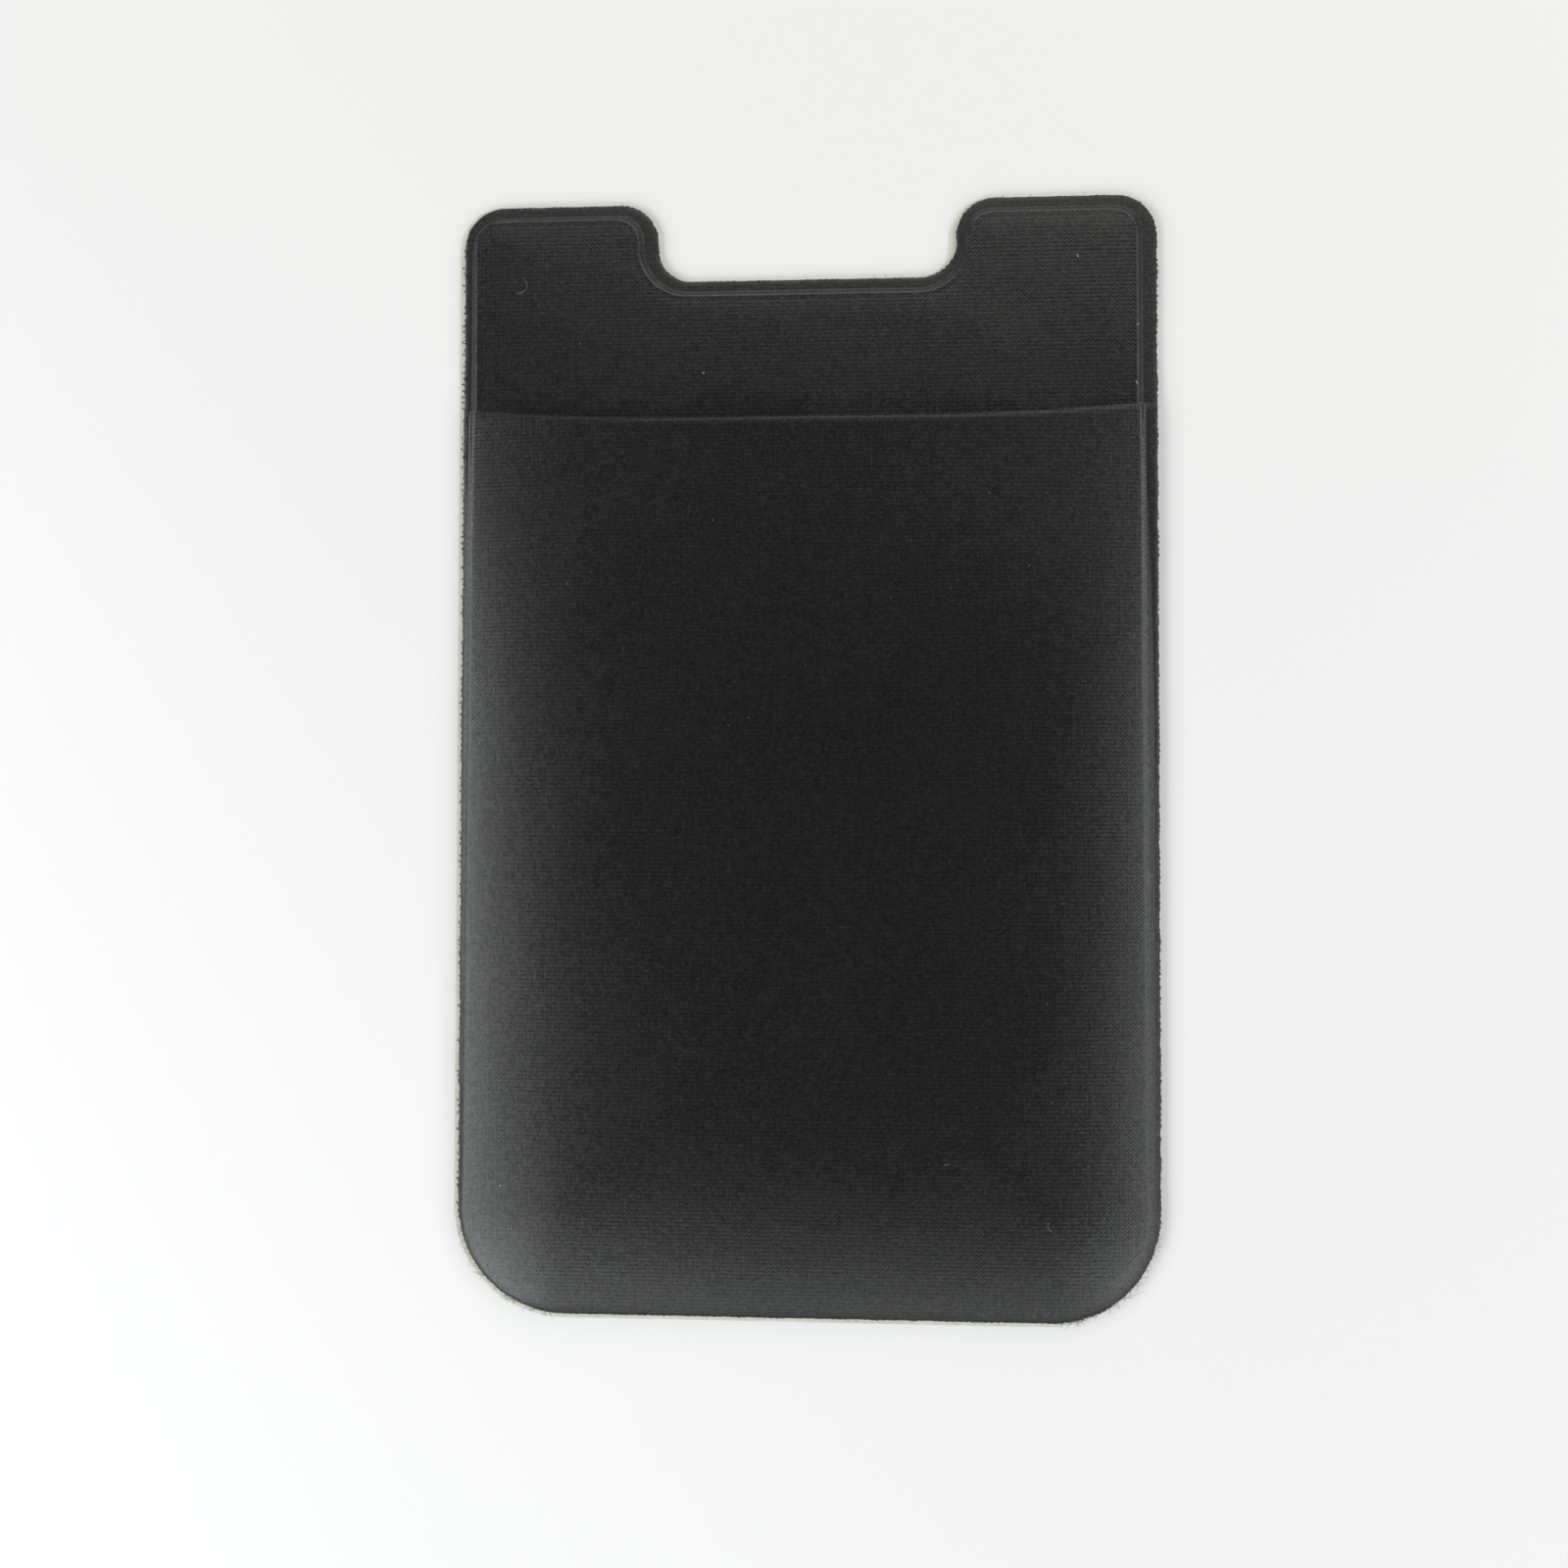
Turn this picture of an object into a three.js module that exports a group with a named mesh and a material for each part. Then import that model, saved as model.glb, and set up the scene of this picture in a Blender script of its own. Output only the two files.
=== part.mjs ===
// A slim card sleeve for the back of a phone, lying on its back.
// X runs across the panel, Y up to the ears, Z out of the front face. All sizes are in millimetres.
import * as THREE from "three";

// Panel outline
const panelWidth = 58;
const panelHeight = 93;
const bottomCornerRadius = 9;
const outerEarRadius = 3.3;

// Thumb notch between the two ears
const notchWidth = 25.1;
const notchDepth = 6.6;
const innerEarRadius = 3.2;
const notchCornerRadius = 2.9;

// Layers, from the back to the front
const linerThickness = 0.12;
const adhesiveThickness = 0.15;
const magnetThickness = 0.4;
const knitThickness = 0.4;
const pressedBaseThickness = 0.3;
const pressedPocketThickness = 0.25;
const cardGap = 0.35;

// Heat-pressed border and the step up to the raised field
const borderWidth = 0.95;
const stepWidth = 0.6;
const stepRings = 6;

// Pocket: its weld narrows from the mouth to the bottom, and its mouth dips in the middle
const mouthDrop = 18.5;
const mouthSag = 1;
const weldInsideBorder = 0.35;
const weldAtBottom = 0.15;

// Back layers
const linerMargin = 0.3;
const linerShiftX = -0.25;
const linerShiftY = -0.15;
const adhesiveInset = 0.5;
const magnetClearance = 0.3;
const recessDraft = 0.05;

// Smoothness of the round stretches
const arcSteps = 10;
const sideSteps = 12;
const bottomSteps = 8;
const mouthSteps = 24;
const smallestRadius = 0.2;
const shareOfWall = 0.98;

// Heights of the layers, each resting on the one below
const adhesiveBottom = linerThickness;
const panelBottom = adhesiveBottom + adhesiveThickness;
const recessTop = panelBottom + magnetThickness;
const borderTop = panelBottom + pressedBaseThickness;
const fieldTop = recessTop + knitThickness;
const pocketFieldBottom = fieldTop + cardGap;

// The base panel's step ends where the magnet's recess begins, so the knit over the magnet keeps its thickness
const recessInset = borderWidth + stepWidth;
const recessFloorInset = recessInset + recessDraft;
const magnetInset = recessFloorInset + magnetClearance;

// The pocket's weld lies inside the pressed border, and both steps end at the same place
const weldAtMouth = borderWidth - weldInsideBorder;
const pocketStepWidth = stepWidth + weldInsideBorder;
const mouthMiddleY = panelHeight / 2 - mouthDrop;

const blackKnit = { color: 0x2c2d2c, roughness: 0.92, metalness: 0 };
const pressedKnit = { color: 0x2f302f, roughness: 0.9, metalness: 0 };
const magnetRubber = { color: 0x3a3530, roughness: 0.75, metalness: 0.1 };
const adhesiveFilm = { color: 0xd9d6c8, roughness: 0.35, metalness: 0 };
const linerPaper = { color: 0xe4e1d6, roughness: 0.55, metalness: 0 };

// Smooth rise from 0 to 1, level at both ends
function smoothRise(t) {
  const clamped = Math.min(Math.max(t, 0), 1);
  return 0.5 - 0.5 * Math.cos(Math.PI * clamped);
}

// Corners of the panel outline, counterclockwise, moved inwards by the inset
function panelCorners(inset) {
  const side = panelWidth / 2 - inset;
  const end = panelHeight / 2 - inset;
  const notchSide = notchWidth / 2 + inset;
  const notchFloor = panelHeight / 2 - notchDepth - inset;
  const bottomRadius = Math.max(bottomCornerRadius - inset, smallestRadius);
  const outerRadius = Math.max(outerEarRadius - inset, smallestRadius);
  const innerRadius = Math.max(innerEarRadius - inset, smallestRadius);
  const hollowRadius = Math.max(notchCornerRadius + inset, smallestRadius);
  return [
    { x: -side, y: -end, radius: bottomRadius },
    { x: side, y: -end, radius: bottomRadius },
    { x: side, y: end, radius: outerRadius },
    { x: notchSide, y: end, radius: innerRadius },
    { x: notchSide, y: notchFloor, radius: hollowRadius },
    { x: -notchSide, y: notchFloor, radius: hollowRadius },
    { x: -notchSide, y: end, radius: innerRadius },
    { x: -side, y: end, radius: outerRadius },
  ];
}

// Distance and unit direction from one corner to another
function wallBetween(from, to) {
  const length = Math.hypot(to.x - from.x, to.y - from.y);
  return { length, x: (to.x - from.x) / length, y: (to.y - from.y) / length };
}

// Closed loop with every right-angled corner rounded; two fillets never take more than their wall
function roundedLoop(corners) {
  const count = corners.length;
  return corners.flatMap((corner, index) => {
    const previous = corners[(index + count - 1) % count];
    const next = corners[(index + 1) % count];
    const back = wallBetween(corner, previous);
    const ahead = wallBetween(corner, next);
    const shareBack = (shareOfWall * back.length) / (corner.radius + previous.radius);
    const shareAhead = (shareOfWall * ahead.length) / (corner.radius + next.radius);
    const radius = corner.radius * Math.min(1, shareBack, shareAhead);
    const centreX = corner.x + (back.x + ahead.x) * radius;
    const centreY = corner.y + (back.y + ahead.y) * radius;
    return Array.from({ length: arcSteps + 1 }, (_, step) => {
      const angle = (step / arcSteps) * (Math.PI / 2);
      const alongAhead = radius * Math.cos(angle);
      const alongBack = radius * Math.sin(angle);
      return new THREE.Vector2(
        centreX - ahead.x * alongAhead - back.x * alongBack,
        centreY - ahead.y * alongAhead - back.y * alongBack,
      );
    });
  });
}

function panelLoop(inset) {
  return roundedLoop(panelCorners(inset));
}

// Triangles that fill a flat counterclockwise loop of point numbers
function fillLoop(points, loop) {
  const contour = loop.map((number) => new THREE.Vector2(points[number].x, points[number].y));
  return THREE.ShapeUtils.triangulateShape(contour, []).map((face) => face.map((corner) => loop[corner]));
}

// Triangles between an outer and an inner row of point numbers
function joinRows(outer, inner) {
  return outer.slice(1).flatMap((outerNext, index) => [
    [outer[index], outerNext, inner[index + 1]],
    [outer[index], inner[index + 1], inner[index]],
  ]);
}

// A sheet with its own top and bottom height at every point of one plan
function sheetGeometry(plan, topHeight, bottomHeight) {
  const count = plan.points.length;
  const top = plan.points.flatMap((point) => [point.x, point.y, topHeight(point)]);
  const bottom = plan.points.flatMap((point) => [point.x, point.y, bottomHeight(point)]);
  const index = [];
  plan.faces.forEach(([a, b, c]) => index.push(a, b, c, count + a, count + c, count + b));
  plan.edge.forEach((from, place) => {
    const to = plan.edge[(place + 1) % plan.edge.length];
    index.push(count + from, count + to, to, count + from, to, from);
  });
  const geometry = new THREE.BufferGeometry();
  geometry.setAttribute("position", new THREE.Float32BufferAttribute([...top, ...bottom], 3));
  geometry.setIndex(index);
  geometry.computeVertexNormals();
  return geometry;
}

// Flat plate with the panel's outline
function plateGeometry(inset, bottom, thickness) {
  const geometry = new THREE.ExtrudeGeometry(new THREE.Shape(panelLoop(inset)), {
    depth: thickness,
    bevelEnabled: false,
  });
  geometry.translate(0, 0, bottom);
  return geometry;
}

// Base panel: pressed border, smooth step, raised field, and the magnet's recess underneath
function basePanelGeometry() {
  const stepInsets = Array.from({ length: stepRings + 1 }, (_, ring) => borderWidth + (ring / stepRings) * stepWidth);
  const insets = [0, ...stepInsets, recessFloorInset];
  const points = [];
  const rows = insets.map((inset) =>
    panelLoop(inset).map((point) => points.push({ x: point.x, y: point.y, inset }) - 1),
  );
  const closed = rows.map((row) => [...row, row[0]]);
  const faces = closed.slice(1).flatMap((inner, ring) => joinRows(closed[ring], inner));
  faces.push(...fillLoop(points, rows.at(-1)));
  const rise = fieldTop - borderTop;
  return sheetGeometry(
    { points, faces, edge: rows[0] },
    (point) => borderTop + rise * smoothRise((point.inset - borderWidth) / stepWidth),
    (point) => (point.inset > recessInset ? recessTop : panelBottom),
  );
}

// Height of the pocket's mouth along its width
function mouthY(x) {
  return mouthMiddleY + mouthSag * (x / (panelWidth / 2)) ** 2;
}

// The pocket's side and bottom edge, from the mouth's left end round to its right end, with inward directions
function pocketEdge() {
  const side = panelWidth / 2;
  const bottom = -panelHeight / 2;
  const radius = bottomCornerRadius;
  const shoulder = bottom + radius;
  const centreX = side - radius;
  const sideTop = mouthY(side);
  const left = Array.from({ length: sideSteps }, (_, step) => ({
    x: -side,
    y: THREE.MathUtils.lerp(sideTop, shoulder, step / sideSteps),
    inX: 1,
    inY: 0,
  }));
  const leftCorner = Array.from({ length: arcSteps + 1 }, (_, step) => {
    const angle = (step / arcSteps) * (Math.PI / 2);
    const inX = Math.cos(angle);
    const inY = Math.sin(angle);
    return { x: -centreX - inX * radius, y: shoulder - inY * radius, inX, inY };
  });
  const half = [...left, ...leftCorner];
  const floor = Array.from({ length: bottomSteps - 1 }, (_, step) => ({
    x: THREE.MathUtils.lerp(-centreX, centreX, (step + 1) / bottomSteps),
    y: bottom,
    inX: 0,
    inY: 1,
  }));
  const mirrored = half.map((point) => ({ ...point, x: -point.x, inX: -point.inX })).reverse();
  return [...half, ...floor, ...mirrored];
}

// Width of the pocket's weld at a height along the panel
function weldWidth(y) {
  const share = (y + panelHeight / 2) / (mouthY(panelWidth / 2) + panelHeight / 2);
  return THREE.MathUtils.lerp(weldAtBottom, weldAtMouth, share);
}

// Front pocket: welded to the pressed border, then stepping up and over the base panel with room for cards
function frontPocketGeometry() {
  const edge = pocketEdge();
  const shares = [0, ...Array.from({ length: stepRings + 1 }, (_, ring) => ring / stepRings)];
  const points = [];
  const rows = shares.map((share, ring) =>
    edge.map((place, number) => {
      const inset = ring === 0 ? 0 : weldWidth(place.y) + share * pocketStepWidth;
      const x = place.x + place.inX * inset;
      const atMouth = number === 0 || number === edge.length - 1;
      const y = atMouth ? mouthY(x) : place.y + place.inY * inset;
      return points.push({ x, y, share }) - 1;
    }),
  );
  const innermost = rows.at(-1);
  const innerSide = points[innermost.at(-1)].x;
  const mouth = Array.from({ length: mouthSteps - 1 }, (_, step) => {
    const x = THREE.MathUtils.lerp(innerSide, -innerSide, (step + 1) / mouthSteps);
    return points.push({ x, y: mouthY(x), share: 1 }) - 1;
  });
  const faces = rows.slice(1).flatMap((inner, ring) => joinRows(rows[ring], inner));
  faces.push(...fillLoop(points, [...innermost, ...mouth]));
  const rightEnds = rows.slice(1).map((row) => row.at(-1));
  const leftEnds = rows.slice(1).map((row) => row[0]).reverse();
  const rise = pocketFieldBottom - borderTop;
  const bottomHeight = (point) => borderTop + rise * smoothRise(point.share);
  const thickness = (point) =>
    THREE.MathUtils.lerp(pressedPocketThickness, knitThickness, smoothRise(point.share));
  return sheetGeometry(
    { points, faces, edge: [...rows[0], ...rightEnds, ...mouth, ...leftEnds] },
    (point) => bottomHeight(point) + thickness(point),
    bottomHeight,
  );
}

function namedMesh(name, geometry, finish) {
  const mesh = new THREE.Mesh(geometry, new THREE.MeshStandardMaterial(finish));
  mesh.name = name;
  return mesh;
}

const releaseLiner = namedMesh("release_liner", plateGeometry(-linerMargin, 0, linerThickness), linerPaper);
releaseLiner.position.set(linerShiftX, linerShiftY, 0);

const adhesiveSheet = namedMesh(
  "adhesive_sheet",
  plateGeometry(adhesiveInset, adhesiveBottom, adhesiveThickness),
  adhesiveFilm,
);

const magnetSheet = namedMesh(
  "magnet_sheet",
  plateGeometry(magnetInset, panelBottom, magnetThickness),
  magnetRubber,
);

const basePanel = namedMesh("base_panel", basePanelGeometry(), pressedKnit);
const frontPocket = namedMesh("front_pocket", frontPocketGeometry(), blackKnit);

const cardHolder = new THREE.Group();
cardHolder.add(releaseLiner, adhesiveSheet, magnetSheet, basePanel, frontPocket);

export default cardHolder;
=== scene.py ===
import math

import bpy
import numpy as np
from mathutils import Matrix, Vector, geometry, kdtree


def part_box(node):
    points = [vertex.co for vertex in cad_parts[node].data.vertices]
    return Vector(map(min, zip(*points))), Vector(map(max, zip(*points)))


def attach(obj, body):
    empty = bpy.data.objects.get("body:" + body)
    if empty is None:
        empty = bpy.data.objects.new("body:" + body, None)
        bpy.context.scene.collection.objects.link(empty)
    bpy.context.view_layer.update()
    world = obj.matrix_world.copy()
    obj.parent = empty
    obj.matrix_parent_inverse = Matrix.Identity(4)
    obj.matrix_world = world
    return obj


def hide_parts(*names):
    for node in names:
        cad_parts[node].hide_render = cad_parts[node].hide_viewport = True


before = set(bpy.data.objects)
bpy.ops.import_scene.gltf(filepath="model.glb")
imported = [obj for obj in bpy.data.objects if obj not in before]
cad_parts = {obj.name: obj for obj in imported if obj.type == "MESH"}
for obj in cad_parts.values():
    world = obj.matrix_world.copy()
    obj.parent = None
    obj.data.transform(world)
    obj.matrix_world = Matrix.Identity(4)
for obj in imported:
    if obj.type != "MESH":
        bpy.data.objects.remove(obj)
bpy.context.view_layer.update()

# Sizes are in millimetres up to the moment a mesh is made
MM = 0.001
rng = np.random.default_rng(58)

# Panel outline, with the overall size and the layer heights taken from the frame
panel_low, panel_high = (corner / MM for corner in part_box("base_panel"))
pocket_low, pocket_high = (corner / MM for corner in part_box("front_pocket"))
liner_low, liner_high = (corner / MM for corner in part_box("release_liner"))
magnet_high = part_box("magnet_sheet")[1] / MM
half_width = panel_high.x
half_height = panel_high.y
bottom_corner_radius = 9.0
outer_ear_radius = 3.3
inner_ear_radius = 3.2
notch_corner_radius = 2.9
notch_half_width = 12.55
notch_depth = 6.6
liner_margin = 0.3

# Pressed border and the step up to the field. The press sat a little left of the cut outline.
press_shift = 0.28
border_width = 0.9
step_width = 0.45
step_height = 0.36
ridge_height = 0.03
ridge_width = 0.17
border_drop = 0.06
base_crown = 0.06
base_crown_width = 0.8
recess_inset = 1.85
recess_wall = 0.03

# Under the pocket the base lies lower and its step is wider
covered_drop = 0.06
covered_step = 0.8
covered_reach = 4.0

# Mouth of the pocket
mouth_middle = 27.9
mouth_sag = 1.25
lip_width = 0.4
lip_drop = 0.042

# Step along the pocket's sides, which fades out at the bottom
bead_width = 0.45
bead_at_bottom = 0.35
bead_at_mouth = 0.95
bead_height = 0.09
bead_height_at_mouth = 0.24
bead_fade_low, bead_fade_high = -44.0, -34.0

# Soft swelling of the pocket, flatter where the mouth pulls it tight.
# There it starts at the weld, lower down it starts at the rim.
swell = 1.8
swell_run = 6.8
swell_run_at_mouth = 12.0
mouth_run = 14.0
weld_run = 16.0

# Gentle waves in the cloth, which fade out towards the border
base_wave_height, base_wave_size, base_wave_inset = 0.01, 9, 3
pocket_wave_height, pocket_wave_size = 0.02, 16
pocket_wave_inset, pocket_wave_rise = 2, 8

# Cloth thickness and the rounding of its cut rim. The pocket always clears the base a little.
knit_thickness = panel_high.z - magnet_high.z
pressed_pocket_thickness = 0.25
least_thickness = 0.12
least_clearance = 0.02
border_top = pocket_low.z
thickening_run = 3.0
rim_inset = 0.1
rim_drop = 0.1
border_round_run = 0.5

# Knit loops along the cut edges, and the spacing of the mesh points
tooth_pitch = 0.52
tooth_height = 0.08
side_tooth_height = 0.15
outline_spacing = 0.05
edge_spacing = 0.13
ring_gap = 0.12
outer_rings = (2.1, 2.5)
ring_spacing = 0.34
field_spacing = 0.85
mouth_row_drops = (0.05, 0.1, 0.2, 0.35, 0.6, 1.0, 1.5)
mouth_row_spacing = 0.6 * ring_spacing
ring_stop = 0.15
liner_edge_spacing, liner_ring_spacing = 0.2, 0.8
liner_rings, liner_field_inset = (0.1, 1.0), 1.8
liner_roughness = 0.012

# Loose fibres, cut loops and lint
fibre_radius = 0.018
loop_radius = 0.05
fibre_count = 300
corner_share = 0.4
corner_lengths, edge_lengths = (0.2, 0.7), (0.1, 0.35)
side_loop_pitch = 0.5
left_loop_depths, right_loop_depths = (0.02, 0.4), (0.02, 0.2)
loop_widths = (0.15, 0.35)
lint_radius = 0.05
lint_count = 46
lint_lengths, lint_shares = (0.08, 0.12, 0.2, 0.4), (0.45, 0.3, 0.2, 0.05)

# Knit pattern
wale_pitch = 0.36
course_pitch = 0.33
loop_lean = 0.6
knit_relief = 0.011
grain_relief = 0.016
grain_size, patch_size, cloud_size = 0.28, 1.4, 11.0


def smooth_rise(t):
    """A smooth step from 0 at 0 to 1 at 1."""
    clamped = np.clip(t, 0, 1)
    return 0.5 - 0.5 * np.cos(np.pi * clamped)


# Outlines


def panel_corners(inset):
    """Corners of the panel outline, counterclockwise, moved inwards by the inset, as (x, y, radius)."""
    side, end = half_width - inset, half_height - inset
    notch_side = notch_half_width + inset
    floor = half_height - notch_depth - inset
    right = [
        (side, -end, bottom_corner_radius - inset),
        (side, end, outer_ear_radius - inset),
        (notch_side, end, inner_ear_radius - inset),
        (notch_side, floor, notch_corner_radius + inset),
    ]
    left = [(-x, y, radius) for x, y, radius in reversed(right)]
    return right + left


def rounded_loop(corners, spacing):
    """Closed outline with rounded corners, as points about spacing apart."""
    places = np.array([corner[:2] for corner in corners])
    walls = np.roll(places, -1, axis=0) - places
    ahead = walls / np.linalg.norm(walls, axis=1, keepdims=True)
    back = -np.roll(ahead, 1, axis=0)
    points = []
    for index, (x, y, radius) in enumerate(corners):
        centre = places[index] + (ahead[index] + back[index]) * radius
        steps = max(4, math.ceil(radius * math.pi / 2 / spacing))
        angles = np.linspace(0, math.pi / 2, steps + 1)[:, None]
        points.append(centre - radius * (ahead[index] * np.cos(angles) + back[index] * np.sin(angles)))
        after = (index + 1) % len(corners)
        start = places[index] + ahead[index] * radius
        end = places[after] + back[after] * corners[after][2]
        steps = max(1, math.ceil(np.linalg.norm(end - start) / spacing))
        points.append(start + (end - start) * (np.arange(1, steps) / steps)[:, None])
    return np.vstack(points)


def mouth_y(x):
    """Height of the pocket's mouth, which curves up towards both sides."""
    return mouth_middle + mouth_sag * np.abs(x / half_width) ** 3


def pocket_path(inset, spacing):
    """The pocket's sides and bottom, from the mouth's left end round to its right end."""
    side, bottom = half_width - inset, -half_height + inset
    radius = bottom_corner_radius - inset
    top = mouth_y(side)
    shoulder = bottom + radius
    down = np.arange(top, shoulder, -spacing)
    left = np.column_stack((np.full(len(down), -side), down))
    angles = np.arange(0, math.pi / 2, spacing / radius)
    corner = np.column_stack((-side + radius - radius * np.cos(angles), shoulder - radius * np.sin(angles)))
    half = np.vstack((left, corner))
    floor = np.arange(-side + radius, 0, spacing)
    half = np.vstack((half, np.column_stack((floor, np.full(len(floor), bottom)))))
    return np.vstack((half, (half * (-1, 1))[::-1]))


def toothed(points, closed):
    """A cut knit edge: uneven little loops that stand out from the outline."""
    before, after = np.roll(points, 1, axis=0), np.roll(points, -1, axis=0)
    if not closed:
        before[0], after[-1] = points[0], points[-1]
    along = after - before
    outward = np.column_stack((along[:, 1], -along[:, 0])) / np.linalg.norm(along, axis=1, keepdims=True)
    walked = np.cumsum(np.linalg.norm(points - np.vstack((points[:1], points[:-1])), axis=1))
    teeth = max(1, round(walked[-1] / tooth_pitch))
    place = walked / walked[-1] * teeth
    heights = rng.uniform(-0.2, 1.0, teeth + 1)
    heights[-1] = heights[0]
    height = np.interp(place, np.arange(teeth + 1), heights)
    fine = rng.normal(0, 0.12, len(points))
    tooth = np.abs(np.sin(math.pi * place)) * height + fine
    reach = tooth_height + (side_tooth_height - tooth_height) * np.abs(outward[:, 0])
    return points + outward * (tooth * reach)[:, None]


# Flat plans


def triangulate(edge, inner):
    """Triangles inside a closed edge, through all inner points: (points, faces, edge as point numbers)."""
    coordinates = [Vector(point) for point in np.vstack((edge, inner))]
    loop = list(range(len(edge)))
    points, _, faces, sources, _, _ = geometry.delaunay_2d_cdt(coordinates, [], [loop], 1, 1e-6)
    number = {old: new for new, olds in enumerate(sources) for old in olds}
    return np.array(points), faces, [number[old] for old in loop]


def field_points(low, high, keep):
    """Points of a triangular grid over a rectangle, where keep says so."""
    row_height = field_spacing * math.sqrt(3) / 2
    rows = np.arange(low[1], high[1], row_height)
    columns = np.arange(low[0], high[0], field_spacing)
    x, y = np.meshgrid(columns, rows)
    x = x + (np.arange(len(rows)) % 2)[:, None] * field_spacing / 2
    grid = np.column_stack((x.ravel(), y.ravel()))
    return grid[keep(grid)]


outline_points = rounded_loop(panel_corners(0), outline_spacing)
outline_tree = kdtree.KDTree(len(outline_points))
for number, (x, y) in enumerate(outline_points):
    outline_tree.insert((x, y, 0), number)
outline_tree.balance()
outline_run = np.roll(outline_points, -1, axis=0) - np.roll(outline_points, 1, axis=0)
outline_outward = np.column_stack((outline_run[:, 1], -outline_run[:, 0]))


def panel_inset(points):
    """Distance from the panel's outline, and 0 outside it."""
    found = [outline_tree.find((x, y, 0)) for x, y in points]
    nearest = np.array([number for _, number, _ in found])
    distance = np.array([length for _, _, length in found])
    past = points - outline_points[nearest]
    inside = (past * outline_outward[nearest]).sum(axis=1) < 0
    return np.where(inside, distance, 0)


def pocket_inset(points):
    """Distance from the pocket's sides and bottom, positive inside. The mouth doesn't count."""
    x, y = np.abs(points[:, 0]), points[:, 1]
    straight = np.minimum(half_width - x, y + half_height)
    past_x = x - (half_width - bottom_corner_radius)
    past_y = (-half_height + bottom_corner_radius) - y
    rounded = bottom_corner_radius - np.hypot(past_x, past_y)
    return np.clip(np.where((past_x > 0) & (past_y > 0), rounded, straight), 0, None)


# Heights of the cloth


def unevenness(points, size, seed):
    """Gentle waves of about unit height, several sizes long, that differ with the seed."""
    waves = np.random.default_rng(seed)
    total = np.zeros(len(points))
    for _ in range(7):
        angle, phase = waves.uniform(0, 2 * math.pi, 2)
        length = size * waves.uniform(0.6, 1.8)
        along = points @ (math.cos(angle), math.sin(angle))
        total += np.sin(2 * math.pi * along / length + phase)
    return total / math.sqrt(7)


def below_mouth(points):
    """Distance down from the mouth, negative on the open part of the base."""
    return mouth_y(points[:, 0]) - points[:, 1]


def rounding(inset):
    """How far the top surface drops at a cut rim and over the pressed border."""
    at_rim = rim_drop * (1 - smooth_rise(inset / rim_inset)) ** 2
    return at_rim + border_drop * np.exp(-inset / border_round_run)


def lip(points):
    """How far the pocket's top surface drops at the mouth."""
    return lip_drop * (1 - smooth_rise(np.clip(below_mouth(points), 0, None) / lip_width))


def base_step(points):
    """Inset from the pressed outline, share covered by the pocket, and share of the step risen."""
    pressed = panel_inset(points + (press_shift, 0))
    covered = smooth_rise(below_mouth(points) / covered_reach)
    width = step_width + covered_step * covered
    return pressed, covered, smooth_rise((pressed - border_width) / width)


def base_top(points, inset):
    """Top of the base: pressed border, step with a slight ridge, then the field."""
    pressed, covered, risen = base_step(points)
    height = border_top + (step_height - covered_drop * covered) * risen
    top_of_step = border_width + step_width
    open_share = 1 - covered
    height += open_share * ridge_height * np.exp(-(((pressed - top_of_step) / ridge_width) ** 2))
    past_step = np.clip(pressed - top_of_step, 0, None)
    height += open_share * base_crown * (1 - np.exp(-past_step / base_crown_width))
    wavy = smooth_rise(inset / base_wave_inset)
    height += base_wave_height * unevenness(points, base_wave_size, 3) * wavy
    return height - rounding(inset)


def base_bottom(points, inset):
    """Underside of the base, with the recess for the magnet."""
    recess = smooth_rise((inset - recess_inset) / recess_wall)
    return panel_low.z + (magnet_high.z - panel_low.z) * recess


def pocket_top(points, inset):
    """Top of the pocket: pressed weld, step along the sides, then a soft swelling."""
    pressed = pocket_inset(points + (press_shift, 0))
    y = points[:, 1]
    upwards = np.clip((y + half_height) / (mouth_middle + half_height), 0, 1)
    under_mouth = np.clip(below_mouth(points), 0, None)
    bead_centre = bead_at_bottom + (bead_at_mouth - bead_at_bottom) * np.sqrt(upwards)
    near_mouth = np.exp(-under_mouth / covered_reach)
    side_height = bead_height + (bead_height_at_mouth - bead_height) * near_mouth
    side_height = side_height * smooth_rise((y - bead_fade_low) / (bead_fade_high - bead_fade_low))
    height = border_top + pressed_pocket_thickness
    height = height + side_height * smooth_rise((pressed - bead_centre) / bead_width + 0.5)
    tightness = np.exp(-((under_mouth / mouth_run) ** 2))
    run = swell_run + (swell_run_at_mouth - swell_run) * tightness
    weld = (bead_centre - bead_width / 2) * np.exp(-((under_mouth / weld_run) ** 2))
    past_weld = np.clip(pressed - weld, 0, None)
    height += swell * (1 - np.exp(-past_weld / run))
    wavy = smooth_rise((inset - pocket_wave_inset) / pocket_wave_rise)
    height += pocket_wave_height * unevenness(points, pocket_wave_size, 5) * wavy
    return height - rounding(inset) - lip(points)


def pocket_bottom(points, inset):
    """Underside of the pocket, which follows its top without the roundings."""
    away = smooth_rise(inset / thickening_run)
    thickness = pressed_pocket_thickness + (knit_thickness - pressed_pocket_thickness) * away
    rim = rounding(inset) - border_drop * np.exp(-inset / border_round_run)
    return pocket_top(points, inset) + rim + lip(points) - thickness


# Meshes


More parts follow.
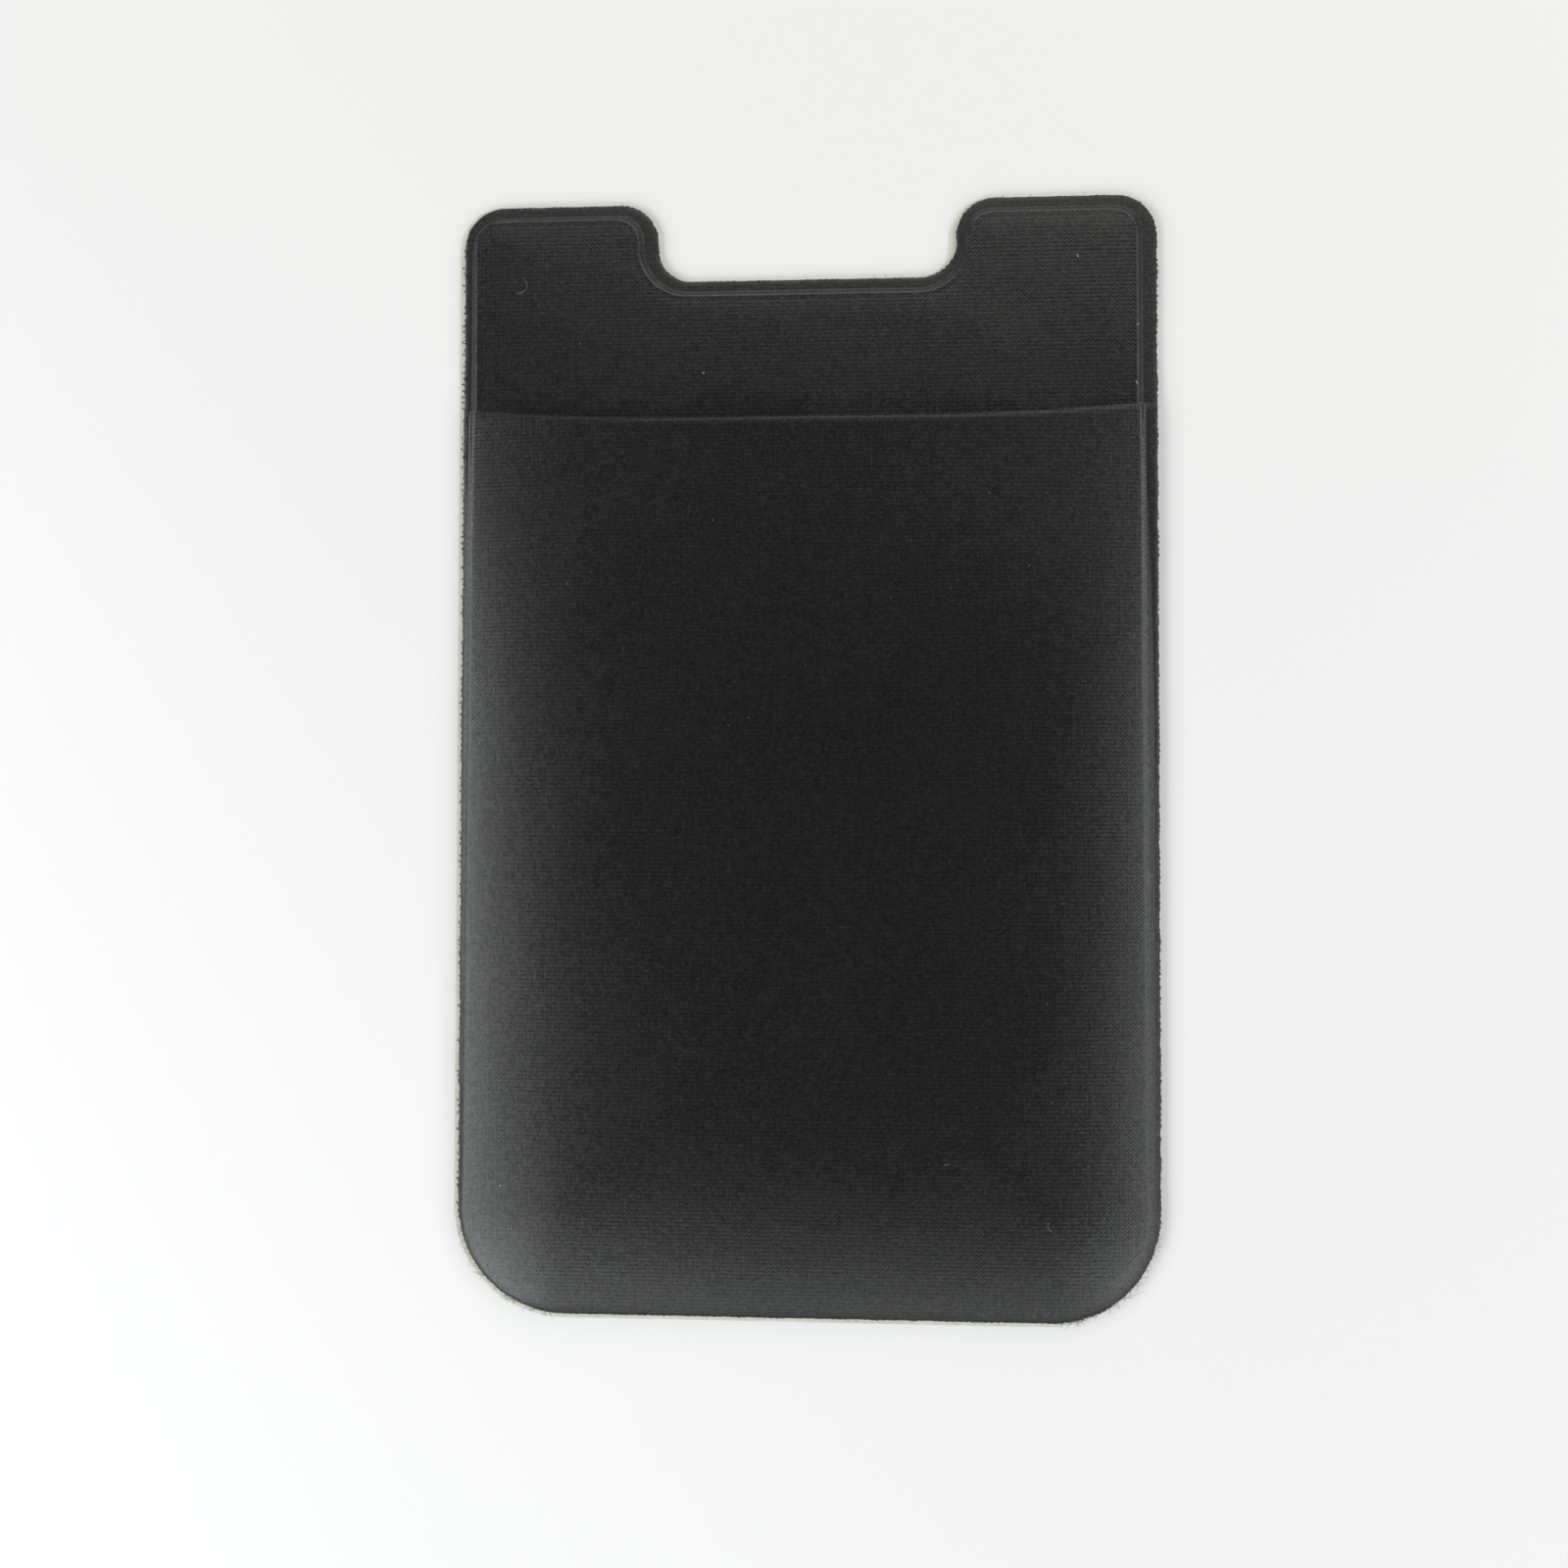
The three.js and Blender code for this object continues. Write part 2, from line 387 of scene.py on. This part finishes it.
def thick_sheet(name, plan, top, bottom, marks):
    """A closed sheet over a plan, from its top and bottom heights. marks are values kept on its points."""
    points, faces, edge = plan
    count = len(points)
    upper = np.column_stack((points, top))
    lower = np.column_stack((points, bottom))
    under = [tuple(count + corner for corner in reversed(face)) for face in faces]
    rim = [
        (count + start, count + end, end, start)
        for start, end in zip(edge, edge[1:] + edge[:1])
        if start != end
    ]
    mesh = bpy.data.meshes.new(name)
    vertices = (np.vstack((upper, lower)) * MM).tolist()
    mesh.from_pydata(vertices, [], [tuple(face) for face in faces] + under + rim)
    for mark, values in marks.items():
        attribute = mesh.attributes.new(mark, "FLOAT", "POINT")
        attribute.data.foreach_set("value", np.concatenate((values, values)).astype(np.float32))
    mesh.shade_smooth()
    mesh.set_sharp_from_angle(angle=math.radians(55))
    piece = bpy.data.objects.new(name, mesh)
    bpy.context.scene.collection.objects.link(piece)
    return piece


def area_of(loop):
    """Area inside a closed loop, in square metres."""
    x, y = loop[:, 0], loop[:, 1]
    return abs(np.dot(x, np.roll(y, -1)) - np.dot(y, np.roll(x, -1))) / 2 * MM * MM


def tubes(name, paths, radius, sides=4):
    """One mesh of thin tapered tubes along the given paths."""
    vertices, faces = [], []
    turns = np.linspace(0, 2 * math.pi, sides, endpoint=False)
    for path in paths:
        first = len(vertices)
        along = np.gradient(path, axis=0)
        along /= np.linalg.norm(along, axis=1, keepdims=True)
        across = np.cross(along, (0.3, 0.2, 1.0))
        across /= np.linalg.norm(across, axis=1, keepdims=True)
        other = np.cross(along, across)
        widths = radius * np.linspace(1, 0.45, len(path))
        for place, side, up, width in zip(path, across, other, widths):
            for turn in turns:
                vertices.append(place + width * (math.cos(turn) * side + math.sin(turn) * up))
        for step in range(len(path) - 1):
            ring = first + step * sides
            for side in range(sides):
                after = (side + 1) % sides
                faces.append((ring + side, ring + after, ring + sides + after, ring + sides + side))
        last = first + (len(path) - 1) * sides
        faces.append(tuple(range(first + sides - 1, first - 1, -1)))
        faces.append(tuple(range(last, last + sides)))
    mesh = bpy.data.meshes.new(name)
    mesh.from_pydata((np.array(vertices) * MM).tolist(), [], faces)
    mesh.shade_smooth()
    piece = bpy.data.objects.new(name, mesh)
    bpy.context.scene.collection.objects.link(piece)
    return piece


# Materials

black_dark, black_light = (0.0031, 0.0034, 0.0027), (0.0092, 0.0099, 0.0083)
fibre_dark, fibre_light = (0.01, 0.01, 0.009), (0.07, 0.065, 0.055)
lint_dull, lint_pale, lint_white = (0.07, 0.07, 0.07), (0.16, 0.16, 0.155), (0.4, 0.4, 0.38)
knit_sheen, sheen_tint = 0.08, (0.86, 0.9, 1.0)


class Shader:
    """A material's node tree with short calls for the nodes used here."""

    def __init__(self, name):
        self.material = bpy.data.materials.new(name)
        self.material.use_nodes = True
        self.tree = self.material.node_tree
        self.surface = self.tree.nodes["Principled BSDF"]

    def add(self, kind, inputs=None, **settings):
        made = self.tree.nodes.new(kind)
        for key, value in settings.items():
            setattr(made, key, value)
        for key, value in (inputs or {}).items():
            self.put(made.inputs[key], value)
        return made

    def put(self, socket, value):
        """Links a socket to the input, or writes a value on it."""
        if isinstance(value, bpy.types.NodeSocket):
            self.tree.links.new(value, socket)
        else:
            socket.default_value = value

    def math(self, operation, first, second=0.0, third=0.0):
        return self.add("ShaderNodeMath", {0: first, 1: second, 2: third}, operation=operation).outputs[0]

    def place(self):
        return self.add("ShaderNodeTexCoord").outputs["Object"]

    def noise(self, size, detail=2.0, roughness=0.5):
        """Noise whose lumps are about the given number of millimetres apart."""
        inputs = {"Vector": self.place(), "Scale": 1 / (size * MM), "Detail": detail, "Roughness": roughness}
        return self.add("ShaderNodeTexNoise", inputs).outputs["Fac"]

    def ranged(self, value, low, high, to_low, to_high):
        inputs = {"Value": value, "From Min": low, "From Max": high, "To Min": to_low, "To Max": to_high}
        return self.add("ShaderNodeMapRange", inputs).outputs["Result"]

    def mark(self, name):
        """A value kept on the mesh's points."""
        return self.add("ShaderNodeAttribute", attribute_name=name).outputs["Fac"]

    def tint(self, share, low, high):
        return self.blend(share, (*low, 1), (*high, 1))

    def blend(self, share, low, high):
        mixed = self.add("ShaderNodeMix", data_type="RGBA")
        self.put(mixed.inputs["Factor"], share)
        self.put(mixed.inputs["A"], low)
        self.put(mixed.inputs["B"], high)
        return mixed.outputs["Result"]

    def bump(self, height, distance, normal=None):
        inputs = {"Height": height, "Distance": distance * MM, "Strength": 1.0}
        if normal is not None:
            inputs["Normal"] = normal
        return self.add("ShaderNodeBump", inputs).outputs["Normal"]

    def set(self, **values):
        for key, value in values.items():
            self.put(self.surface.inputs[key.replace("_", " ")], value)


def knit_pattern(shader):
    """Height of the knit's V-shaped loops, from 0 to 1."""
    axes = shader.add("ShaderNodeSeparateXYZ", {0: shader.place()})
    column = shader.math("DIVIDE", axes.outputs["X"], wale_pitch * MM)
    leg = shader.math("MULTIPLY", shader.math("PINGPONG", column, 0.5), 2.0)
    row = shader.math("DIVIDE", axes.outputs["Y"], course_pitch * MM)
    leaned = shader.math("MULTIPLY_ADD", leg, loop_lean, row)
    stitch = shader.math("SINE", shader.math("MULTIPLY", leaned, 2 * math.pi))
    across = shader.math("SINE", shader.math("MULTIPLY", leg, math.pi))
    mixed = shader.math("MULTIPLY_ADD", stitch, 0.3, shader.math("MULTIPLY", across, 0.4))
    return shader.math("ADD", mixed, 0.3)


def knit_material(name, dark, light, sheen):
    shader = Shader(name)
    knit = knit_pattern(shader)
    grain = shader.noise(grain_size, 3.0, 0.65)
    patches = shader.noise(patch_size, 2.0, 0.5)
    cloud = shader.noise(cloud_size, 3.0, 0.55)
    pressed = shader.mark("pressed")
    cut = shader.mark("cut")
    tone = shader.math("MULTIPLY_ADD", knit, 0.2, shader.ranged(grain, 0.3, 0.7, 0.0, 0.6))
    tone = shader.math("ADD", tone, shader.ranged(patches, 0.3, 0.7, -0.1, 0.15))
    tone = shader.math("ADD", tone, shader.ranged(cloud, 0.3, 0.7, -0.1, 0.15))
    body = shader.tint(tone, dark, light)
    # Painted highlight: the knit is coloured lighter along the pocket's cut mouth edge, in place of the
    # light that edge catches
    mouth_highlight_colour = tuple(1.8 * channel for channel in light)
    colour = shader.blend(cut, body, shader.tint(grain, light, mouth_highlight_colour))
    loft = shader.math("SUBTRACT", 1.0, shader.math("MULTIPLY", pressed, 0.5))
    relief = shader.math("MULTIPLY", knit, loft)
    normal = shader.bump(relief, knit_relief)
    normal = shader.bump(grain, grain_relief, normal)
    roughness = shader.math("MULTIPLY_ADD", pressed, 0.12, shader.ranged(grain, 0.3, 0.7, 0.24, 0.3))
    gloss = shader.math("MULTIPLY_ADD", relief, 0.35, shader.ranged(grain, 0.3, 0.7, 0.25, 0.65))
    shader.set(Base_Color=colour, Roughness=roughness, Specular_IOR_Level=gloss, Normal=normal)
    shader.set(Sheen_Weight=sheen, Sheen_Roughness=0.5)
    shader.set(Sheen_Tint=(*sheen_tint, 1))
    return shader.material


def paper_material():
    shader = Shader("coated_release_paper")
    fibres = shader.noise(0.7, 4.0, 0.65)
    cloud = shader.noise(9.0)
    tone = shader.math("MULTIPLY_ADD", fibres, 0.6, shader.math("MULTIPLY", cloud, 0.4))
    colour = shader.tint(shader.ranged(tone, 0.35, 0.65, 0, 1), (0.66, 0.63, 0.54), (0.8, 0.78, 0.71))
    normal = shader.bump(fibres, 0.01)
    shader.set(Base_Color=colour, Roughness=shader.ranged(cloud, 0.3, 0.7, 0.38, 0.5), Normal=normal)
    return shader.material


def film_material():
    shader = Shader("adhesive_film")
    bubbles = shader.noise(1.6, 3.0)
    colour = shader.tint(shader.ranged(bubbles, 0.35, 0.65, 0, 1), (0.6, 0.57, 0.46), (0.72, 0.7, 0.6))
    shader.set(Base_Color=colour, Roughness=shader.ranged(bubbles, 0.3, 0.7, 0.25, 0.4))
    shader.set(Normal=shader.bump(bubbles, 0.015))
    return shader.material


def magnet_material():
    shader = Shader("flexible_magnet")
    specks = shader.noise(0.25, 3.0)
    colour = shader.tint(shader.ranged(specks, 0.3, 0.7, 0, 1), (0.03, 0.026, 0.022), (0.05, 0.043, 0.038))
    shader.set(Base_Color=colour, Roughness=shader.ranged(specks, 0.3, 0.7, 0.6, 0.75))
    shader.set(Normal=shader.bump(specks, 0.01))
    return shader.material


def fibre_material(name, dark, light):
    shader = Shader(name)
    shader.set(Base_Color=shader.tint(shader.noise(0.4), dark, light), Roughness=0.8)
    return shader.material


# Pieces


def ring_insets():
    """Insets of the mesh rings: close together from the cut rim to the top of the step."""
    close = np.arange(2 * rim_inset, recess_inset - 0.05, ring_gap)
    return [rim_inset, *close, recess_inset, recess_inset + recess_wall, *outer_rings]


def base_plan():
    edge = toothed(rounded_loop(panel_corners(0), edge_spacing), closed=True)
    insets = ring_insets()
    rings = [rounded_loop(panel_corners(inset), ring_spacing) for inset in insets]
    low, high = (-half_width, -half_height), (half_width, half_height)
    field = field_points(low, high, lambda grid: panel_inset(grid) > insets[-1] + 0.5 * field_spacing)
    return triangulate(edge, np.vstack(rings + [field]))


def make_base():
    plan = base_plan()
    points = plan[0]
    inset = panel_inset(points)
    marks = {"pressed": 1 - base_step(points)[2], "cut": np.zeros(len(points))}
    top, bottom = base_top(points, inset), base_bottom(points, inset)
    piece = thick_sheet("base_panel_knit", plan, top, bottom, marks)
    piece.data.materials.append(knit_material("base_knit", black_dark, black_light, knit_sheen))
    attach(piece, "root")
    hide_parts("base_panel")
    return piece


def pocket_outline():
    walls = toothed(pocket_path(0, edge_spacing), closed=False)
    across = np.arange(half_width - edge_spacing, -half_width, -edge_spacing)
    mouth = np.column_stack((across, mouth_y(across)))
    return np.vstack((walls, toothed(mouth, closed=False)))


def pocket_plan():
    edge = pocket_outline()
    insets = ring_insets()
    rings = [pocket_path(inset, ring_spacing) for inset in insets]
    rings = [ring[below_mouth(ring) > ring_stop] for ring in rings]
    across = np.arange(-half_width + rim_inset, half_width - rim_inset, mouth_row_spacing)
    rows = [np.column_stack((across, mouth_y(across) - drop)) for drop in mouth_row_drops]
    rows[2:] = [row[np.abs(row[:, 0]) < half_width - insets[-1]] for row in rows[2:]]
    low, high = (-half_width, -half_height), (half_width, pocket_high.y)

    def inside(grid):
        deep = pocket_inset(grid) > insets[-1] + 0.5 * field_spacing
        return deep & (below_mouth(grid) > mouth_row_drops[-1] + 0.5 * field_spacing)

    return triangulate(edge, np.vstack(rings + rows + [field_points(low, high, inside)]))


def make_pocket():
    plan = pocket_plan()
    points = plan[0]
    inset = pocket_inset(points)
    pressed = 1 - smooth_rise(pocket_inset(points + (press_shift, 0)) / bead_at_mouth)
    # Share of the painted highlight along the pocket's cut mouth edge; the base gets none
    cut = 1 - smooth_rise(np.clip(below_mouth(points), 0, None) / lip_width)
    resting = base_top(points, panel_inset(points)) + least_clearance
    bottom = np.maximum(pocket_bottom(points, inset), resting)
    top = np.maximum(pocket_top(points, inset), bottom + least_thickness)
    piece = thick_sheet("front_pocket_knit", plan, top, bottom, {"pressed": pressed, "cut": cut})
    piece.data.materials.append(knit_material("pocket_knit", black_dark, black_light, knit_sheen))
    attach(piece, "root")
    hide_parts("front_pocket")
    area_of(pocket_outline())
    return piece


def make_liner():
    shift = np.array(((liner_low.x + liner_high.x) / 2, (liner_low.y + liner_high.y) / 2))
    edge = rounded_loop(panel_corners(-liner_margin), liner_edge_spacing)
    edge = edge + rng.normal(0, liner_roughness, edge.shape) + shift
    rings = [rounded_loop(panel_corners(inset), liner_ring_spacing) for inset in liner_rings]
    inner = np.vstack(rings) + shift
    low, high = (-half_width, -half_height), (half_width, half_height)
    field = field_points(low, high, lambda grid: panel_inset(grid) > liner_field_inset)
    plan = triangulate(edge, np.vstack((inner, field)))
    points = plan[0]
    top = np.full(len(points), liner_high.z)
    bottom = np.full(len(points), liner_low.z)
    piece = thick_sheet("release_liner_paper", plan, top, bottom, {})
    piece.data.materials.append(paper_material())
    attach(piece, "root")
    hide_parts("release_liner")
    return piece


def edge_fibres():
    """Short loose fibres and cut loops that stand out along the panel's edge."""
    outline = rounded_loop(panel_corners(0), 0.1)
    along = np.roll(outline, -1, axis=0) - np.roll(outline, 1, axis=0)
    along /= np.linalg.norm(along, axis=1, keepdims=True)
    low = outline[:, 1] < -half_height + 0.8 * bottom_corner_radius
    corners = np.flatnonzero(low & (np.abs(outline[:, 0]) > half_width - 0.9 * bottom_corner_radius))
    reach = np.linspace(0, 1, 6)[:, None]
    fibres, loops = [], []
    for _ in range(fibre_count):
        start = rng.choice(corners) if rng.random() < corner_share else rng.integers(len(outline))
        forward = along[start]
        outward = np.array((forward[1], -forward[0]))
        length = rng.uniform(*(corner_lengths if start in corners else edge_lengths))
        lean, curl = rng.normal(0, 0.8), rng.normal(0, 0.5)
        root = outline[start] - 0.05 * outward
        flat = root + length * (outward * reach + forward * (lean * reach + curl * reach**2))
        lift = rng.uniform(border_top - 0.2, border_top + 0.1) + length * rng.uniform(-0.3, 0.3) * reach**1.5
        fibres.append(np.hstack((flat, np.clip(lift, 0.05, None))))
    for side in (-1, 1):
        low_end, high_end = -half_height + bottom_corner_radius, half_height - outer_ear_radius
        for y in np.arange(low_end, high_end, side_loop_pitch):
            depth = rng.uniform(*(left_loop_depths if side < 0 else right_loop_depths))
            width = rng.uniform(*loop_widths)
            middle = y + rng.normal(0, 0.06)
            swing = np.sin(math.pi * reach)
            x = side * (half_width - 0.05 + depth * swing)
            lift = border_top - 0.12 - 0.25 * depth * swing
            loops.append(np.hstack((x, middle + (reach - 0.5) * width, lift)))
    black = fibre_material("loose_black_fibre", fibre_dark, fibre_light)
    for piece in (tubes("edge_fibres", fibres, fibre_radius), tubes("edge_loops", loops, loop_radius)):
        piece.data.materials.append(black)
        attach(piece, "root")


def on_the_front(path, lift):
    """The path laid on the front surface, the given height above it."""
    pocket = pocket_top(path, pocket_inset(path))
    base = base_top(path, panel_inset(path))
    height = np.where(below_mouth(path) > 0, pocket, base)
    return np.column_stack((path, height + lift))


def curved_path(middle, length, angle, bend):
    """A short bent path with its middle at a place, turned by an angle."""
    reach = np.linspace(-0.5, 0.5, 7)
    flat = np.column_stack((reach, bend * (0.25 - reach**2))) * length
    turn = np.array(((math.cos(angle), math.sin(angle)), (-math.sin(angle), math.cos(angle))))
    return np.array(middle) + flat @ turn


def lint():
    """Pale lint on the front. The largest pieces lie where the photograph shows them."""
    hook = curved_path((-24.2, 39.7), 1.5, math.radians(70), -1.6)
    low_left_fibre = curved_path((-22.35, -42.6), 0.7, math.radians(50), 0.8)
    low_right_hook = curved_path((20.0, -38.3), 0.8, math.radians(100), 1.2)
    low_dash = curved_path((11.6, -33.4), 0.5, 0.1, 0.2)
    faint = [hook, low_left_fibre, low_right_hook, low_dash]
    bright = [curved_path(middle, 0.28, math.radians(110), 0.5) for middle in ((27.3, 30.7), (22.5, 41.3))]
    bright += [curved_path(middle, 0.2, 0.6, 0.5) for middle in ((-25.2, -35.8), (-8.6, 32.0), (27.4, 35.5))]
    for _ in range(lint_count):
        middle = (rng.uniform(-26.5, 26.5), rng.uniform(-44, 39))
        length = rng.choice(lint_lengths, p=lint_shares)
        path = curved_path(middle, length, rng.uniform(0, math.pi), rng.normal(0, 0.4))
        if np.abs(below_mouth(path)).min() > 0.5:
            faint.append(path)
    for name, paths, radius, colours in (
        ("lint_faint", faint, lint_radius, (lint_dull, lint_pale)),
        ("lint_bright", bright, 1.6 * lint_radius, (lint_pale, lint_white)),
    ):
        piece = tubes(name, [on_the_front(path, 0.6 * radius) for path in paths], radius)
        piece.data.materials.append(fibre_material(name, *colours))
        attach(piece, "root")


def finish_cad_nodes():
    for node, material in (("adhesive_sheet", film_material()), ("magnet_sheet", magnet_material())):
        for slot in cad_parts[node].material_slots:
            slot.material = material


# Stage, in metres

backdrop_colour = (0.88, 0.88, 0.88)
floor_colour = (0.86, 0.85, 0.835)
floor_reach, floor_drop = 3.0, -0.00005
floor_fade = (0.09, 0.22)
box_distance = 0.26
long_box = (0.4, 0.16)
cool, warm = (0.95, 0.98, 1.0), (1.0, 1.0, 0.94)


def make_floor():
    """A pale floor. Away from the panel it shows the backdrop's colour, with no line between the two."""
    mesh = bpy.data.meshes.new("floor")
    signs = ((-1, -1), (1, -1), (1, 1), (-1, 1))
    corners = [(x * floor_reach, y * floor_reach, floor_drop) for x, y in signs]
    mesh.from_pydata(corners, [], [(0, 1, 2, 3)])
    floor = bpy.data.objects.new("floor", mesh)
    bpy.context.scene.collection.objects.link(floor)
    shader = Shader("pale_floor")
    shader.set(Base_Color=(*floor_colour, 1), Roughness=0.9, Specular_IOR_Level=0.1)
    distance = shader.add("ShaderNodeVectorMath", {0: shader.place()}, operation="LENGTH").outputs["Value"]
    away = shader.ranged(distance, *floor_fade, 0.0, 1.0)
    seen = shader.add("ShaderNodeLightPath").outputs["Is Camera Ray"]
    share = shader.math("MULTIPLY", away, seen)
    plain = shader.add("ShaderNodeEmission", {"Color": (*backdrop_colour, 1), "Strength": 1.0})
    mixed = shader.add("ShaderNodeMixShader", {0: share, 1: shader.surface.outputs[0], 2: plain.outputs[0]})
    shader.tree.links.new(mixed.outputs[0], shader.tree.nodes["Material Output"].inputs["Surface"])
    mesh.materials.append(shader.material)


def soft_light(name, azimuth, elevation, size, power, colour):
    """An area light aimed at the panel. Azimuth 0 is at the ears' end, 90 to the right."""
    turn, rise = math.radians(azimuth), math.radians(elevation)
    direction = Vector((math.sin(turn) * math.cos(rise), math.cos(turn) * math.cos(rise), math.sin(rise)))
    data = bpy.data.lights.new(name, "AREA")
    data.shape = "RECTANGLE"
    data.size, data.size_y = size
    data.energy = power
    data.color = colour
    light = bpy.data.objects.new(name, data)
    light.location = direction * box_distance
    light.rotation_mode = "QUATERNION"
    light.rotation_quaternion = direction.to_track_quat("Z", "Y")
    light.visible_camera = False
    bpy.context.scene.collection.objects.link(light)


def make_lights():
    """Softboxes round the camera, and a weak high one that lights the ears.

    The gap between them keeps the middle of the panel dark.
    """
    soft_light("left_softbox", 252, 35, long_box, 0.66, cool)
    soft_light("right_softbox", 103, 35, long_box, 0.45, cool)
    soft_light("bottom_softbox", 182, 36, long_box, 0.2, cool)
    soft_light("top_softbox", 10, 24, (0.3, 0.12), 0.2, warm)
    soft_light("ear_softbox", 9, 50, (0.3, 0.09), 0.105, warm)


def make_world():
    world = bpy.data.worlds.new("studio")
    world.use_nodes = True
    tree = world.node_tree
    background = tree.nodes["Background"]
    background.inputs["Color"].default_value = (0.9, 0.9, 0.9, 1)
    background.inputs["Strength"].default_value = 0.07
    backdrop = tree.nodes.new("ShaderNodeBackground")
    backdrop.inputs["Color"].default_value = (*backdrop_colour, 1)
    rays = tree.nodes.new("ShaderNodeLightPath")
    mixed = tree.nodes.new("ShaderNodeMixShader")
    tree.links.new(rays.outputs["Is Camera Ray"], mixed.inputs[0])
    tree.links.new(background.outputs[0], mixed.inputs[1])
    tree.links.new(backdrop.outputs[0], mixed.inputs[2])
    tree.links.new(mixed.outputs[0], tree.nodes["World Output"].inputs["Surface"])
    bpy.context.scene.world = world


def make_camera():
    """Looks down on the panel from where the photograph was taken, relative to the panel."""
    frame_pixels, focal_pixels, sensor = 1600, 1723, 36.0
    # How the panel is turned against the camera, in radians, and where its centre is from it
    turned = Vector((-0.027, 0.066, 0.001))
    reach = Vector((1.809, -2.43, 140.51))
    turn = Matrix.Rotation(turned.length, 3, turned.normalized())
    flip = Matrix.Diagonal((1, -1, -1))
    world = (flip @ turn @ flip).transposed()
    place = -(world @ (flip @ reach)) + Vector((0, 0, border_top))
    data = bpy.data.cameras.new("photo_camera")
    data.sensor_width = sensor
    data.lens = sensor * focal_pixels / frame_pixels
    data.clip_start, data.clip_end = 0.005, 20
    camera = bpy.data.objects.new("photo_camera", data)
    camera.matrix_world = Matrix.Translation(place * MM) @ world.to_4x4()
    bpy.context.scene.collection.objects.link(camera)
    bpy.context.scene.camera = camera


make_base()
make_pocket()
make_liner()
edge_fibres()
lint()
finish_cad_nodes()
make_floor()
make_lights()
make_world()
make_camera()
bpy.context.scene.view_settings.view_transform = "Standard"
